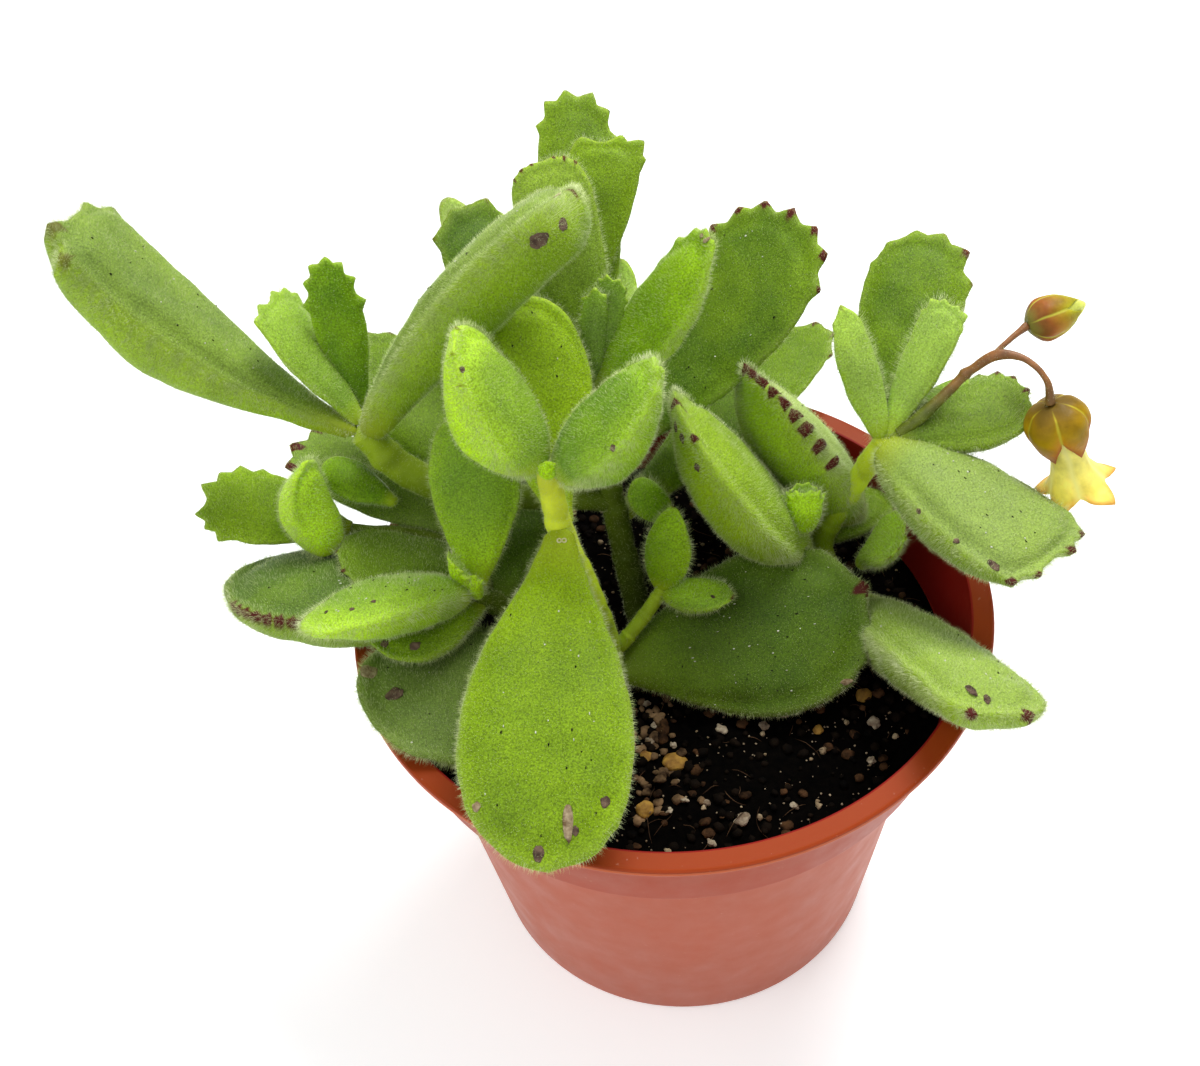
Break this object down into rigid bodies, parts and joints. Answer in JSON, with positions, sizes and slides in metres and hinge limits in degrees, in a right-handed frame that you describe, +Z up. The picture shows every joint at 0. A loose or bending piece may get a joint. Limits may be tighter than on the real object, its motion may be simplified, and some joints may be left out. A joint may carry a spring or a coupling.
{
  "type": "potted cotyledon",
  "caption": "Potted succulent with branching stems, fleshy fuzzy leaves toothed at their tips, a hanging flower and a bud, in a tapered plastic nursery pot.",
  "frame": {"origin": "centre of the pot's flat base, on the surface it stands on", "axes": "+Z up along the pot's axis; -Y is the side with the large drooping leaf, +X the side with the flower"},
  "size_m": [0.1585, 0.1153, 0.142],
  "materials": {
    "pot": "thin moulded terracotta-coloured plastic, satin, darker and redder inside",
    "soil": "damp near-black potting soil with tan grit, pebbles and fine fibres",
    "stem": "soft yellow-green to olive stem, short pale hairs",
    "leaf": "fleshy green leaf with a short velvet of pale hairs and dark red-brown teeth",
    "young_leaf": "young leaf, yellower green under denser pale hairs",
    "shaded_leaf": "older or shaded leaf, darker green under short hairs",
    "flower_stalk": "thin brown-green stalk, finely downy",
    "calyx": "downy golden-brown sepals, olive towards the foot",
    "petals": "thin pale yellow petals, slightly translucent"
  },
  "bodies": {
    "root": {"pot": "pot", "soil": "soil", "main_stem": "stem", "front_stem": "stem", "west_stem": "stem", "right_stem": "stem", "left_leaf_long": "leaf", "left_leaf_arched": "leaf", "left_leaf_young_west": "young_leaf", "left_leaf_young_rear": "young_leaf", "left_leaf_hidden": "shaded_leaf", "left_leaf_small": "shaded_leaf", "top_leaf_left": "leaf", "top_leaf_rear": "leaf", "top_leaf_highest": "leaf", "top_leaf_right": "young_leaf", "top_leaf_bud_west": "young_leaf", "top_leaf_bud_east": "young_leaf", "top_leaf_behind_front": "leaf", "top_leaf_far_left": "leaf", "top_leaf_far_rear": "leaf", "top_leaf_far_small": "young_leaf", "back_leaf_large": "leaf", "back_leaf_low": "leaf", "front_leaf_large": "leaf", "front_leaf_rear": "leaf", "front_leaf_west": "young_leaf", "front_leaf_east": "young_leaf", "low_leaf_east": "shaded_leaf", "low_leaf_west": "shaded_leaf", "small_leaf_east": "young_leaf", "small_leaf_rear": "young_leaf", "small_leaf_hidden": "young_leaf", "west_leaf_upright": "leaf", "west_leaf_front": "leaf", "west_leaf_under": "leaf", "west_leaf_dark": "shaded_leaf", "west_leaf_large": "leaf", "west_leaf_middle": "shaded_leaf", "west_leaf_shaded": "shaded_leaf", "west_leaf_tip": "leaf", "west_leaf_fuzzy": "young_leaf", "west_leaf_small": "young_leaf", "right_leaf_west": "leaf", "right_leaf_rear": "leaf", "right_leaf_bud": "young_leaf", "right_leaf_small": "young_leaf", "right_leaf_shaded": "shaded_leaf", "right_leaf_front": "leaf", "shoot_leaf_young_west": "young_leaf", "shoot_leaf_young_rear": "young_leaf", "shoot_leaf_rear": "leaf", "shoot_leaf_front": "leaf", "shoot_leaf_east": "leaf", "shoot_leaf_small": "young_leaf", "flower_stalk": "flower_stalk", "flower_calyx": "calyx", "flower_petals": "petals", "bud_calyx": "calyx", "bud_petals": "petals"}
  },
  "joints": []
}
